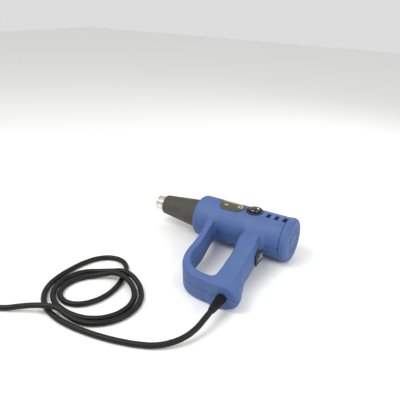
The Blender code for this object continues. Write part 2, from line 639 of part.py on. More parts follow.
def smooth_path(points, step):
    """A Catmull-Rom curve through the points, read off at even steps."""
    fine = []
    padded = [points[0] * 2 - points[1]] + points + [points[-1] * 2 - points[-2]]
    for a, b, c, d in zip(padded, padded[1:], padded[2:], padded[3:]):
        for k in range(12):
            t = k / 12
            fine.append(0.5 * (2 * b + (c - a) * t + (2 * a - 5 * b + 4 * c - d) * t * t
                               + (3 * b - 3 * c + d - a) * t ** 3))
    fine.append(points[-1])
    lengths = [0.0]
    for a, b in zip(fine, fine[1:]):
        lengths.append(lengths[-1] + (b - a).length)
    count = max(2, round(lengths[-1] / step))
    even = []
    k = 0
    for n in range(count + 1):
        target = lengths[-1] * n / count
        while k < len(fine) - 2 and lengths[k + 1] < target:
            k += 1
        share = (target - lengths[k]) / max(lengths[k + 1] - lengths[k], 1e-9)
        even.append(fine[k].lerp(fine[k + 1], share))
    return even


def add_cord(name, points):
    curve = bpy.data.curves.new(name, "CURVE")
    curve.dimensions = "3D"
    spline = curve.splines.new("POLY")
    spline.points.add(len(points) - 1)
    for target, point in zip(spline.points, points):
        target.co = (*((point + BENCH_SHIFT) * MM), 1.0)
    curve.bevel_depth = CORD_R * MM
    curve.bevel_resolution = 2
    curve.use_fill_caps = True
    curve.materials.append(material("cord_rubber"))
    cord = bpy.data.objects.new(name, curve)
    bpy.context.collection.objects.link(cord)


def past_coil(distance, height):
    """A point on the line that leaves the coil along its tangent."""
    start = Vector((math.cos(COIL_EXIT), math.sin(COIL_EXIT))) * COIL_R
    along = Vector((math.sin(COIL_EXIT), -math.cos(COIL_EXIT))) * distance
    return Vector((COIL_CENTRE[0] + start.x + along.x, COIL_CENTRE[1] + start.y + along.y, height))


def build_cord():
    add_cord("power_cord", smooth_path(route_points(), CORD_STEP))
    half = CORD_R + 0.4
    profile = [(0.1, COIL_R - half), (0.1, COIL_R + half), (COIL_HEIGHT, COIL_R + half),
               (COIL_HEIGHT, COIL_R - half)]
    centre = Vector((*COIL_CENTRE, 0.0)) + BENCH_SHIFT
    add_object("cord_coil", turned(profile, "Z", centre, 40), "cord_rubber", None)
    add_cord("cord_tail", [past_coil(*point) for point in TAIL])
    build_plug()


def build_plug():
    """Round two-pin plug with a tapered boot, lying on the bench with both pins level."""
    heading = COIL_EXIT - math.pi / 2
    place = (past_coil(PLUG_START, TAIL[-1][1]) + BENCH_SHIFT) * MM
    face = PLUG_LENGTH
    profile = [(0.0, 0.0), (0.0, 5.4), (26.0, 8.6), (30.0, 11.0), (36.0, PLUG_R - 2.0), (39.0, PLUG_R),
               (face - 1.0, PLUG_R), (face, PLUG_R - 1.0), (face, 0.0)]
    body = add_object("plug_body", turned(profile, segments=24), "black_plastic", None)
    pieces = [body]
    socket_depth = 5.0
    for k, side in enumerate((-PIN_SPACING / 2, PIN_SPACING / 2)):
        socket = cylinder("X", (0, side, 0), face - socket_depth, face + 5.0, 2.7, 16)
        tool = add_object("pin_socket_%d" % k, socket, None, None, cutter=True)
        combine(body, "DIFFERENCE", tool)
        end = face + PIN_LENGTH
        pin = [(face - socket_depth + GAP, 0.0), (face - socket_depth + GAP, 2.4), (end - 1.5, 2.4),
               (end, 1.2), (end, 0.0)]
        pieces += [tool, add_object("plug_pin_%d" % (k + 1), turned(pin, "X", (0, side, 0), 16), "brass",
                                    None)]
    for piece in pieces:
        piece.location = place
        piece.rotation_euler = Euler((0.0, 0.0, heading))


def main():
    clear_scene()
    rig = make_rig()
    build_housing(rig)
    build_heater(rig)
    build_motor(rig)
    build_rear(rig)
    build_dial(rig)
    build_label_and_windows(rig)
    build_switch(rig)
    build_cord_entry(rig)
    build_screws(rig)
    build_cord()


main()
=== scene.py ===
"""Hot-air gun with a closed D-handle, lying on its side with its cord in loose loops.

Gun frame, in millimetres: X runs along the barrel from the outlet (0) to the rear, Y is the gun's up,
away from the handle, and Z points out of its left side. Bench frame, in millimetres: X and Y above the
same point, Z up from the floor. Both turn to metres when a piece is made.
"""
import json
import math

import bmesh
import bpy
import numpy as np
from mathutils import Matrix, Vector


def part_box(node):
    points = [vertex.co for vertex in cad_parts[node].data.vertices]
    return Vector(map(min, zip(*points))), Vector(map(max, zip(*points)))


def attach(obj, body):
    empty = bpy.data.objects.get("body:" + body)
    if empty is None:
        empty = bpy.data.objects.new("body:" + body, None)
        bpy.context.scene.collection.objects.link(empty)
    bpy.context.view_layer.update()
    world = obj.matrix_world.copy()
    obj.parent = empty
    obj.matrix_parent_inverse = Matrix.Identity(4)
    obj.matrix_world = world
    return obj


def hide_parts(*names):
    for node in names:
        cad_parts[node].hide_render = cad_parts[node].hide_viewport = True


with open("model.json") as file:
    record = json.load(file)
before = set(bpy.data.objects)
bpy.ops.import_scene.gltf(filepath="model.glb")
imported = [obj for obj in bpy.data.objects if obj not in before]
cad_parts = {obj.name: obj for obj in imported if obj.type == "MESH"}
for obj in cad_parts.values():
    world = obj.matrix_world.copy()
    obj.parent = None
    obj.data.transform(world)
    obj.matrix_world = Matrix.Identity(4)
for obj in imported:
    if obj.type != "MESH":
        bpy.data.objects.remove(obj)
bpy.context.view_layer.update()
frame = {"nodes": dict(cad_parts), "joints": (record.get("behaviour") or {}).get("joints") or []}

MM = 0.001
JOINTS = {joint["name"]: joint for joint in frame["joints"]}
BARREL_AXIS = Vector(JOINTS["fan_spin"]["pos_m"])
LEFT = Vector(JOINTS["dial_turn"]["axis"])
OUTLET_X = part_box("outlet_tube")[0].x
ROLL = math.atan2(-LEFT.y, LEFT.z)
GUN = (Matrix.Translation((OUTLET_X, BARREL_AXIS.y, BARREL_AXIS.z)) @ Matrix.Rotation(ROLL, 4, "X")
       @ Matrix.Scale(MM, 4))
BENCH = Matrix.Translation((OUTLET_X, BARREL_AXIS.y, 0.0)) @ Matrix.Scale(MM, 4)

# ---- sizes of the gun, in millimetres ------------------------------------------------------------
LENGTH = 285.5
BODY_R = 39.0
BODY_FRONT = 97.0
BODY_REAR = 271.0
CAP_R = 40.0
COLLAR_R = 26.0
TUBE_R = 14.8
TUBE_BORE_R = 13.3
WALL = 2.6
PARTING = 0.15
HANDLE_BOTTOM = -193.0
GUARD_HALF = 22.0
HANDLE_HALF = 23.0
HANDLE_FLAT_BELOW = -70.0
DIAL = (208.5, 1.0)
DIAL_SEAT = 38.0
WINDOW_XS = (237.0, 252.0, 267.0)
WINDOW_HALF = 3.5
WINDOW_SPAN = (-8.6, 4.2)
SWITCH = (251.5, -75.0)
EXIT_X = 246.0
BOOT_END = -225.0
SCREWS = [(121, -30), (183, -31), (121, 30), (180, 31), (256.5, 30), (173.5, -172.5), (225, -112),
          (233, -184)]
GUARD_OUTER = [(126, -22), (136, -50), (144, -80), (149, -111), (151, -133), (155, -152), (162, -168),
               (170, -179), (181, -187), (195, -191.5), (211, -193), (240, -193)]
GUARD_INNER = [(240, -177), (212, -177.5), (199, -176), (187, -172), (177, -164.5), (169, -154),
               (165, -142), (163, -129), (161.5, -108), (157, -84), (151, -58), (146, -22)]
# Grip stations: height, front edge, crease between flat side and rounded back, rear edge, half width.
GRIP = np.array([(-22, 206, 232, 240, 20.5), (-52, 207, 236, 243, 21.5), (-68, 209, 241, 247.5, 22.5),
                 (-86, 215, 243, 251, 23), (-109, 219, 244, 254.5, 23), (-131, 221, 246, 256, 23),
                 (-150, 223, 248, 260, 23), (-168, 223.5, 249, 268, 23), (-181, 224, 250, 273, 23),
                 (-193, 226, 251, 273, 23)], float)
LABEL = [(147, -14.5), (151, -16.5), (181, -15), (187, -9), (190, 1), (186, 8), (172, 27), (127, 27)]

# ---- cord route, in bench millimetres ------------------------------------------------------------
CORD_R = 4.25
LOOP_CENTRE = (78.0, -268.0)
# The lead leaves the heel of the grip and lies down on the floor.
CORD_START = [(246, -243, 19), (244, -261, 14.8), (237.5, -279, 10.4),
              (226, -295, 7), (210.5, -308.5, 5), (190, -319, 4.4), (166, -327.5, 4.4),
              (140, -334, 4.4)]
# A wide arc round the left of the turns, hooked back under them into a small inner curl.
CORD_HOOK = [(112, -338.5, 4.4), (84, -340.5, 4.4), (56, -338.5, 4.4), (30, -330.5, 4.4),
             (8, -315.5, 4.4), (-7, -293, 4.4), (-13, -266, 4.4), (-12.5, -238, 4.4),
             (-8, -211, 4.4), (2.5, -188, 4.4), (20, -174, 4.4), (40, -172, 4.4),
             (57.5, -181.5, 4.4), (70, -199.5, 4.4), (78.5, -221, 4.4), (83.5, -243, 4.4),
             (83.2, -264, 4.4), (77, -283, 4.4), (65.5, -298, 4.4), (49.5, -305.5, 4.4),
             (33, -303.5, 4.4), (19.8, -293.5, 4.4), (13.3, -278, 4.4), (14, -260.5, 4.4),
             (21.5, -244.5, 4.4), (34, -231.5, 5.2), (48.5, -222.5, 8.8), (63, -217.8, 13.2)]
# Two loose turns about LOOP_CENTRE: angle in degrees, radius, height.
CORD_LOOPS = [(88, 51, 13.8), (66, 51, 10.6), (44, 51, 5.8), (20, 51, 4.4), (-6, 51, 4.4),
              (-34, 51, 4.4), (-62, 51.4, 4.4), (-90, 53.4, 4.4), (-114, 58.5, 4.4),
              (-136, 67, 4.4), (-155, 74, 4.4), (-173, 77.3, 4.4), (-191, 77.8, 4.4),
              (-209, 75, 4.4), (-228, 69, 4.6), (-246, 64, 8.6), (-262, 62, 13.4),
              (-277, 61.6, 13.8), (-296, 61.6, 10.2), (-315, 61.8, 5.4), (-336, 62, 4.4),
              (-360, 62, 4.4), (-385, 62, 4.4), (-410, 62, 4.4), (-433, 62.4, 5.6),
              (-453, 63.4, 10.2)]
# Over the lead and away to the tied coil.
CORD_END = [(53, -330.5, 13.6), (36.5, -336.3, 13.9), (18.5, -344.3, 12.2), (1, -353, 8.8),
            (-15, -361.5, 5.2), (-29.5, -370, 4.4), (-41, -379.3, 4.4), (-51.5, -390, 4.4)]
COIL_CENTRE = (-106.5, -379.0)
COIL_R = 47.0
COIL_START = math.radians(-42.8)
COIL_SWEEP = math.radians(462.2)          # clockwise
COIL_EXIT = math.radians(215.0)
COIL_RISE = 10.9
TAIL = [(16, 15.0), (31, 15.4), (46, 18.2), (62, 19.3)]   # distance past the coil, height
PLUG_START = 62.3
PLUG_HEIGHT = 19.3
PIN_SIDES = (-9.5, 9.5)


# ---- camera --------------------------------------------------------------------------------------
def make_camera():
    data = bpy.data.cameras.new("camera")
    data.lens = 40.489
    data.clip_start, data.clip_end = 0.01, 50.0
    camera = bpy.data.objects.new("camera", data)
    bpy.context.scene.collection.objects.link(camera)
    right = Vector((0.860759, 0.507889, 0.033808))
    down = Vector((0.237928, -0.342739, -0.908802))
    turn = Matrix((right, -down, down.cross(right))).transposed()
    camera.matrix_world = Matrix.Translation((0.339377, -0.605326, 0.428246)) @ turn.to_4x4()
    bpy.context.scene.camera = camera


make_camera()

# ---- materials -----------------------------------------------------------------------------------
def linear(code):
    """An sRGB hex colour as the linear colour that a shader takes."""
    parts = [int(code[k:k + 2], 16) / 255 for k in (1, 3, 5)]
    return (*[c / 12.92 if c <= 0.04045 else ((c + 0.055) / 1.055) ** 2.4 for c in parts], 1.0)


def add(tree, kind, settings=None, links=None):
    """Add one node. Settings are its properties or its unlinked inputs, by name or number."""
    made = tree.nodes.new(kind)
    for name, value in (settings or {}).items():
        if isinstance(name, str) and hasattr(made, name):
            setattr(made, name, value)
        else:
            made.inputs[name].default_value = value
    for name, source in (links or {}).items():
        tree.links.new(source, made.inputs[name])
    return made


def new_finish(name, **fixed):
    """A material with its Principled shader's fixed values set, and its object coordinates."""
    made = bpy.data.materials.new(name)
    made.use_nodes = True
    tree = made.node_tree
    shader = tree.nodes["Principled BSDF"]
    for key, value in fixed.items():
        shader.inputs[key.replace("_", " ")].default_value = value
    return made, tree, shader, add(tree, "ShaderNodeTexCoord").outputs["Object"]


def moulded(name, light, dark, roughness, grain_mm, grain_depth_mm, cloud_mm=24.0, **fixed):
    """Moulded plastic: faint clouds of colour from the melt, and the fine grain of an eroded mould."""
    made, tree, shader, place = new_finish(name, **fixed)
    cloud = add(tree, "ShaderNodeTexNoise", {"Scale": 1 / (cloud_mm * MM), "Detail": 4.0},
                {"Vector": place})
    tone = add(tree, "ShaderNodeMapRange", {"From Min": 0.3, "From Max": 0.7}, {"Value": cloud.outputs[0]})
    colour = add(tree, "ShaderNodeMix", {"data_type": "RGBA", 6: linear(light), 7: linear(dark)},
                 {0: tone.outputs[0]})
    grain = add(tree, "ShaderNodeTexNoise", {"Scale": 1 / (grain_mm * MM), "Detail": 2.0}, {"Vector": place})
    sheen = add(tree, "ShaderNodeMapRange", {"From Min": 0.25, "From Max": 0.75, "To Min": roughness - 0.06,
                "To Max": roughness + 0.08}, {"Value": grain.outputs[0]})
    relief = add(tree, "ShaderNodeBump", {"Strength": 0.6, "Distance": grain_depth_mm * MM},
                 {"Height": grain.outputs[0]})
    tree.links.new(colour.outputs[2], shader.inputs["Base Color"])
    tree.links.new(sheen.outputs[0], shader.inputs["Roughness"])
    tree.links.new(relief.outputs[0], shader.inputs["Normal"])
    return made


def worked_metal(name, light, dark, roughness, groove_mm, stretch, **fixed):
    """Drawn, turned or plated metal: fine lines, closest together along the first axis of stretch."""
    made, tree, shader, place = new_finish(name, Metallic=1.0, **fixed)
    lay = add(tree, "ShaderNodeMapping", {"Scale": [1 / (groove_mm * MM * part) for part in stretch]},
              {"Vector": place})
    lines = add(tree, "ShaderNodeTexNoise", {"Scale": 1.0, "Detail": 3.0}, {"Vector": lay.outputs[0]})
    handled = add(tree, "ShaderNodeTexNoise", {"Scale": 1 / (9 * MM), "Detail": 3.0}, {"Vector": place})
    colour = add(tree, "ShaderNodeMix", {"data_type": "RGBA", 6: linear(light), 7: linear(dark)},
                 {0: handled.outputs[0]})
    sheen = add(tree, "ShaderNodeMapRange", {"From Min": 0.3, "From Max": 0.7, "To Min": roughness - 0.06,
                "To Max": roughness + 0.12}, {"Value": lines.outputs[0]})
    relief = add(tree, "ShaderNodeBump", {"Strength": 0.35, "Distance": 0.03 * MM},
                 {"Height": lines.outputs[0]})
    tree.links.new(colour.outputs[2], shader.inputs["Base Color"])
    tree.links.new(sheen.outputs[0], shader.inputs["Roughness"])
    tree.links.new(relief.outputs[0], shader.inputs["Normal"])
    return made


def tinted_by_heat(made, start, end, tint):
    """Straw oxide on stainless steel, strongest at the start and gone by the end, along X in metres."""
    tree = made.node_tree
    shader = tree.nodes["Principled BSDF"]
    place = add(tree, "ShaderNodeTexCoord").outputs["Object"]
    along = add(tree, "ShaderNodeSeparateXYZ", {}, {0: place})
    wander = add(tree, "ShaderNodeTexNoise", {"Scale": 1 / (6 * MM)}, {"Vector": place})
    share = add(tree, "ShaderNodeMapRange", {"From Min": start, "From Max": end, "To Min": 0.3,
                "To Max": 0.0}, {"Value": along.outputs[0]})
    patchy = add(tree, "ShaderNodeMath", {"operation": "MULTIPLY"},
                 {0: share.outputs[0], 1: wander.outputs[0]})
    mixed = add(tree, "ShaderNodeMix", {"data_type": "RGBA", 7: linear(tint)},
                {0: patchy.outputs[0], 6: shader.inputs["Base Color"].links[0].from_socket})
    tree.links.new(mixed.outputs[2], shader.inputs["Base Color"])
    return made


EVERY_WAY = (1.0, 1.0, 1.0)
ALONG_X = (1.0, 30.0, 30.0)
FINISHES = {
    # Glass-filled nylon from an eroded mould: matt, even blue with a soft highlight. Its 0.4 mm grain is
    # drawn at 1.1 mm, so that it shows.
    "nylon_blue": moulded("nylon_blue", "#435F95", "#3F598C", 0.58, 1.1, 0.05, IOR=1.53),
    # Heat-resistant glass-filled resin of the barrel sleeve: warm dark grey, duller than the body.
    "resin_sleeve": moulded("resin_sleeve", "#3F3B31", "#36332B", 0.6, 0.9, 0.05, cloud_mm=14.0, IOR=1.55),
    # Polished ABS of the dial and rocker: near black, deep gloss.
    "gloss_abs": moulded("gloss_abs", "#0C0C0D", "#101011", 0.14, 5.0, 0.01, IOR=1.54, Coat_Weight=1.0,
                         Coat_Roughness=0.04),
    # Satin ABS of the dial bezel, switch body and plug.
    "satin_abs": moulded("satin_abs", "#0F0F11", "#0B0B0D", 0.4, 0.8, 0.03, IOR=1.54,
                         Specular_IOR_Level=0.4),
    # Screen-printed polycarbonate film: olive brown with a slight orange peel.
    "label_film": moulded("label_film", "#4A4634", "#413D2E", 0.34, 1.6, 0.02, IOR=1.58),
    # Pale screen ink.
    "label_ink": moulded("label_ink", "#D8D2BC", "#C4BDA6", 0.5, 0.8, 0.01, IOR=1.5),
    # Moulded insert behind the windows: dark navy.
    "navy_insert": moulded("navy_insert", "#0A1028", "#080C1F", 0.7, 0.8, 0.03, IOR=1.5,
                           Specular_IOR_Level=0.2),
    # Drawn stainless tube with circular polishing lines.
    "stainless_tube": worked_metal("stainless_tube", "#E4E2DC", "#D2D0CA", 0.2, 0.5, ALONG_X),
    # Zinc-plated steel of screws, shaft, motor can and fittings.
    "zinc_steel": worked_metal("zinc_steel", "#C3C6C9", "#A9ACB0", 0.34, 0.7, EVERY_WAY),
    # Oxidised iron-chrome-aluminium resistance wire.
    "resistance_wire": worked_metal("resistance_wire", "#6D665E", "#4E4843", 0.5, 0.6, EVERY_WAY),
    # Bright brass of the two leads.
    "brass_bright": worked_metal("brass_bright", "#D9B36A", "#C79C50", 0.24, 0.6, EVERY_WAY),
    # Nickel-plated brass pins of the plug.
    "nickel_pins": worked_metal("nickel_pins", "#DAD6CC", "#C6C1B6", 0.22, 0.6, EVERY_WAY),
    # Unglazed cordierite ceramic: chalky and off-white.
    "ceramic_raw": moulded("ceramic_raw", "#DDD6C4", "#CFC6B2", 0.75, 0.7, 0.06, cloud_mm=8.0, IOR=1.55),
    # Rolled mica paper: pearly tan.
    "mica_paper": moulded("mica_paper", "#B59A6C", "#9F8355", 0.42, 2.5, 0.05, cloud_mm=6.0, IOR=1.58),
    # Glass-epoxy circuit board under green resist.
    "board_green": moulded("board_green", "#1E5A36", "#1A4E30", 0.32, 1.2, 0.02, IOR=1.55),
    # Open-cell filter foam: pitted and fully matt.
    "filter_foam": moulded("filter_foam", "#2A2A2A", "#1C1C1C", 0.9, 1.3, 0.5, cloud_mm=4.0, IOR=1.45),
    # Rubber sheath of the cord: black, with the soft gloss of an extruded surface.
    "cord_rubber": moulded("cord_rubber", "#060606", "#040404", 0.5, 1.5, 0.04, cloud_mm=30.0, IOR=1.52,
                           Specular_IOR_Level=0.32),
}
tinted_by_heat(FINISHES["stainless_tube"], OUTLET_X, OUTLET_X + 9 * MM, "#C9A368")


# ---- mesh helpers --------------------------------------------------------------------------------
def add_piece(name, mesh, place, finishes, body, nodes=(), sharp=35.0):
    """Turn a mesh in millimetres into a finished piece in metres, and hide the parts that it stands in for.
    """
    mesh.transform(place)
    mesh.shade_smooth()
    mesh.set_sharp_from_angle(angle=math.radians(sharp))
    mesh.materials.clear()
    for finish in finishes:
        mesh.materials.append(FINISHES[finish])
    piece = bpy.data.objects.new(name, mesh)
    bpy.context.scene.collection.objects.link(piece)
    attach(piece, body)
    if nodes:
        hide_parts(*nodes)
    return piece


def closed_mesh(name, points, faces, merge=1e-5):
    """A mesh from points and faces, with doubles merged and every face pointing outwards."""
    shape = bmesh.new()
    corners = [shape.verts.new(point) for point in points]
    for face in faces:
        shape.faces.new([corners[k] for k in face])
    bmesh.ops.remove_doubles(shape, verts=shape.verts[:], dist=merge)
    bmesh.ops.recalc_face_normals(shape, faces=shape.faces[:])
    mesh = bpy.data.meshes.new(name)
    shape.to_mesh(mesh)
    shape.free()
    return mesh


def softened(profile):
    """Round the corners of a profile: each point is along, radius and, if it is round, its fillet."""
    smooth = []
    count = len(profile)
    for k, point in enumerate(profile):
        here = Vector(point[:2])
        fillet = point[2] if len(point) > 2 else 0.0
        if not fillet:
            smooth.append(tuple(here))
            continue
        before = Vector(profile[k - 1][:2]) - here
        after = Vector(profile[(k + 1) % count][:2]) - here
        start = here + before.normalized() * min(fillet, before.length * 0.49)
        end = here + after.normalized() * min(fillet, after.length * 0.49)
        for t in (0.0, 0.2, 0.4, 0.6, 0.8, 1.0):
            smooth.append(tuple(start * (1 - t) ** 2 + here * (2 * t * (1 - t)) + end * t * t))
    return smooth


TURN = {"X": Matrix.Identity(3), "Y": Matrix.Rotation(math.pi / 2, 3, "Z"),
        "Z": Matrix.Rotation(-math.pi / 2, 3, "Y")}


def turned(name, profile, axis="X", centre=(0.0, 0.0, 0.0), segments=96):
    """Turn a profile about an axis. It is closed into a ring unless both its ends lie on the axis."""
    profile = softened(profile)
    solid = profile[0][1] == 0.0 and profile[-1][1] == 0.0
    points = []
    for along, radius in profile:
        for k in range(segments):
            angle = 2 * math.pi * k / segments
            point = Vector((along, radius * math.cos(angle), radius * math.sin(angle)))
            points.append(TURN[axis] @ point + Vector(centre))
    faces = []
    for ring in range(len(profile) - solid):
        after = (ring + 1) % len(profile)
        for k in range(segments):
            ahead = (k + 1) % segments
            quad = [ring * segments + k, ring * segments + ahead, after * segments + ahead,
                    after * segments + k]
            if profile[ring][1] == 0.0:
                quad = [quad[0], quad[2], quad[3]]
            elif profile[after][1] == 0.0:
                quad = quad[:3]
            faces.append(quad)
    return closed_mesh(name, points, faces)


def carved(mesh, tool, operation="DIFFERENCE"):
    """Cut, or join, one mesh with another. Both are used up."""
    target = bpy.data.objects.new("target", mesh)
    cutter = bpy.data.objects.new("cutter", tool)
    for thing in (target, cutter):
        bpy.context.scene.collection.objects.link(thing)
    change = target.modifiers.new("change", "BOOLEAN")
    change.operation, change.solver, change.object = operation, "EXACT", cutter
    made = finished_mesh(target)
    bpy.data.objects.remove(target)
    bpy.data.objects.remove(cutter)
    return made


def finished_mesh(thing):
    """The plain mesh that an object's modifiers make."""
    bpy.context.view_layer.update()
    return bpy.data.meshes.new_from_object(thing.evaluated_get(bpy.context.evaluated_depsgraph_get()))


def block(name, low, high, rounding=0.0):
    """A block with rounded edges."""
    shape = bmesh.new()
    bmesh.ops.create_cube(shape, size=1.0)
    size, middle = Vector(high) - Vector(low), (Vector(high) + Vector(low)) / 2
    bmesh.ops.scale(shape, verts=shape.verts[:], vec=size)
    bmesh.ops.translate(shape, verts=shape.verts[:], vec=middle)
    if rounding:
        bmesh.ops.bevel(shape, geom=shape.edges[:], offset=rounding, segments=4, profile=0.5,
                        affect="EDGES")
    mesh = bpy.data.meshes.new(name)
    shape.to_mesh(mesh)
    shape.free()
    return mesh


def grown(name, tree, inputs, seed_mesh=None):
    """Run a Geometry Nodes tree with the given named inputs, and keep its result as a plain mesh."""
    holder = bpy.data.objects.new(name, seed_mesh or bpy.data.meshes.new(name))
    bpy.context.scene.collection.objects.link(holder)
    change = holder.modifiers.new("tree", "NODES")
    change.node_group = tree
    for item in tree.interface.items_tree:
        if item.in_out == "INPUT" and item.name in inputs:
            change[item.identifier] = inputs[item.name]
    made = finished_mesh(holder)
    bpy.data.objects.remove(holder)
    return made


def new_tree(name, inputs):
    """An empty Geometry Nodes tree with named inputs; returns the tree, its inputs and its output."""
    tree = bpy.data.node_groups.new(name, "GeometryNodeTree")
    tree.interface.new_socket("Geometry", in_out="OUTPUT", socket_type="NodeSocketGeometry")
    tree.interface.new_socket("Geometry", in_out="INPUT", socket_type="NodeSocketGeometry")
    for key, kind in inputs.items():
        tree.interface.new_socket(key, in_out="INPUT", socket_type="NodeSocket" + kind)
    return tree, tree.nodes.new("NodeGroupInput").outputs, tree.nodes.new("NodeGroupOutput").inputs


def close_tree(tree, geometry, material, output):
    """Realize the instances, set the material and end the tree."""
    real = add(tree, "GeometryNodeRealizeInstances", {}, {0: geometry})
    painted = add(tree, "GeometryNodeSetMaterial", {}, {"Geometry": real.outputs[0], "Material": material})
    tree.links.new(painted.outputs[0], output[0])
    return tree


def ring_tree():
    """Copies of one shape, evenly round the X axis, each turned with its place."""
    tree, given, output = new_tree("ring_of_copies", {"Shape": "Object", "Count": "Int", "Turn": "Float",
                                                      "Material": "Material"})
    shape = add(tree, "GeometryNodeObjectInfo", {"transform_space": "ORIGINAL"}, {0: given["Shape"]})
    points = add(tree, "GeometryNodePoints", {}, {0: given["Count"]})
    number = add(tree, "GeometryNodeInputIndex")
    step = add(tree, "ShaderNodeMath", {"operation": "DIVIDE", 0: 2 * math.pi}, {1: given["Count"]})
    angle = add(tree, "ShaderNodeMath", {"operation": "MULTIPLY_ADD"},
                {0: number.outputs[0], 1: step.outputs[0], 2: given["Turn"]})
    spin = add(tree, "ShaderNodeCombineXYZ", {}, {0: angle.outputs[0]})
    copies = add(tree, "GeometryNodeInstanceOnPoints", {},
                 {"Points": points.outputs[0], "Instance": shape.outputs["Geometry"],
                  "Rotation": spin.outputs[0]})
    return close_tree(tree, copies.outputs[0], given["Material"], output)


def scatter_tree():
    """A copy of one shape on every point of the mesh that it is given."""
    tree, given, output = new_tree("copies_on_points", {"Shape": "Object", "Material": "Material"})
    shape = add(tree, "GeometryNodeObjectInfo", {"transform_space": "ORIGINAL"}, {0: given["Shape"]})
    copies = add(tree, "GeometryNodeInstanceOnPoints", {},
                 {"Points": given["Geometry"], "Instance": shape.outputs["Geometry"]})
    return close_tree(tree, copies.outputs[0], given["Material"], output)


def winding_tree():
    """Round wire wound into a helix about Z."""
    tree, given, output = new_tree("wire_winding", {"Turns": "Float", "Radius": "Float", "Length": "Float",
                                                    "Wire": "Float", "Material": "Material"})
    helix = add(tree, "GeometryNodeCurveSpiral", {"Resolution": 28},
                {"Rotations": given["Turns"], "Start Radius": given["Radius"],
                 "End Radius": given["Radius"], "Height": given["Length"]})
    ring = add(tree, "GeometryNodeCurvePrimitiveCircle", {"Resolution": 10}, {"Radius": given["Wire"]})
    wire = add(tree, "GeometryNodeCurveToMesh", {"Fill Caps": True},
               {"Curve": helix.outputs[0], "Profile Curve": ring.outputs[0]})
    return close_tree(tree, wire.outputs[0], given["Material"], output)


RING, SCATTER, WINDING = ring_tree(), scatter_tree(), winding_tree()


def ring_of(mesh, count, finish, turn=0.0):
    """Copies of a mesh round the X axis, as one mesh."""
    shape = bpy.data.objects.new("shape", mesh)
    bpy.context.scene.collection.objects.link(shape)
    made = grown("ring", RING, {"Shape": shape, "Count": count, "Turn": turn,
                                "Material": FINISHES[finish]})
    bpy.data.objects.remove(shape)
    return made


def scattered(mesh, places, finish):
    """A copy of a mesh at each place, as one mesh."""
    shape = bpy.data.objects.new("shape", mesh)
    bpy.context.scene.collection.objects.link(shape)
    seeds = bpy.data.meshes.new("seeds")
    seeds.from_pydata([tuple(place) for place in places], [], [])
    made = grown("copies", SCATTER, {"Shape": shape, "Material": FINISHES[finish]}, seeds)
    bpy.data.objects.remove(shape)
    return made


# ---- housing as a field: negative inside, in gun millimetres ---------------------------------------
def either(a, b, fillet):
    """Union of two fields, with a fillet where they meet."""
    share = np.clip(0.5 + 0.5 * (b - a) / fillet, 0.0, 1.0)
    return b + (a - b) * share - fillet * share * (1.0 - share)


def both(a, b, fillet):
    return -either(-a, -b, fillet)


def minus(a, b, fillet):
    return -either(-a, b, fillet)


def rounded_corner(a, b, radius):
    """Where two half-spaces meet in an outer edge of that radius."""
    a, b = a + radius, b + radius
    return np.minimum(np.maximum(a, b), 0.0) + np.hypot(np.maximum(a, 0.0), np.maximum(b, 0.0)) - radius


def outline_distance(x, y, outline):
    """Distance to a closed outline in the plane, negative inside."""
    nearest = np.full(np.broadcast(x, y).shape, 1e9)
    inside = np.zeros(nearest.shape, bool)
    for (ax, ay), (bx, by) in zip(outline, outline[1:] + outline[:1]):
        ex, ey = bx - ax, by - ay
        share = np.clip(((x - ax) * ex + (y - ay) * ey) / (ex * ex + ey * ey), 0.0, 1.0)
        nearest = np.minimum(nearest, (x - ax - share * ex) ** 2 + (y - ay - share * ey) ** 2)
        if by != ay:
            inside ^= ((ay > y) != (by > y)) & (x < ax + (y - ay) * ex / ey)
    return np.where(inside, -1.0, 1.0) * np.sqrt(nearest)


def through(points, parts):
    """A Catmull-Rom curve through points, with that many parts to each span."""
    rows = np.array(points, float)
    rows = np.vstack([2 * rows[0] - rows[1], rows, 2 * rows[-1] - rows[-2]])
    curve = []
    for a, b, c, d in zip(rows, rows[1:], rows[2:], rows[3:]):
        for t in np.arange(parts) / parts:
            curve.append(0.5 * (2 * b + (c - a) * t + (2 * a - 5 * b + 4 * c - d) * t * t
                                + (3 * b - 3 * c + d - a) * t ** 3))
    return [tuple(row) for row in curve + [rows[-2]]]


GUARD = through(GUARD_OUTER, 3) + through(GUARD_INNER, 3)
GRIP_HEIGHTS = np.arange(-210.0, -8.0, 2.0)
GRIP_COLUMNS = [np.convolve(np.pad(np.interp(GRIP_HEIGHTS, GRIP[::-1, 0], GRIP[::-1, k]), 3, mode="edge"),
                            np.ones(7) / 7, mode="valid") for k in range(1, 5)]
CREASE_LIP = 0.22                     # how suddenly the rounded back starts at the crease


def grip_field(x, y, z, inset):
    front, crease, rear, half = (np.interp(y, GRIP_HEIGHTS, column) for column in GRIP_COLUMNS)
    front, rear, half = front + inset, rear - inset, half - inset
    flat = rounded_corner(front - x, np.abs(z) - half, 6.0)
    depth = (rear - crease) / (1.0 - CREASE_LIP)
    width = half / math.sqrt(1.0 - CREASE_LIP ** 2)
    along = np.maximum((x - rear + depth) / depth, 0.0) + 1e-6
    across = np.abs(z) / width
    reach = np.hypot(along, across)
    back = (reach - 1.0) * reach / np.hypot(along / depth, across / width)
    shape = both(flat, back, 2.0)
    return np.maximum(both(shape, HANDLE_BOTTOM + inset - y, 4.5), y + 10.0)


def body_field(x, radius, inset):
    front = rounded_corner(BODY_FRONT + inset - x, radius - BODY_R + inset, 9.0 - inset)
    return np.maximum(front, x - BODY_REAR - 4 * inset)


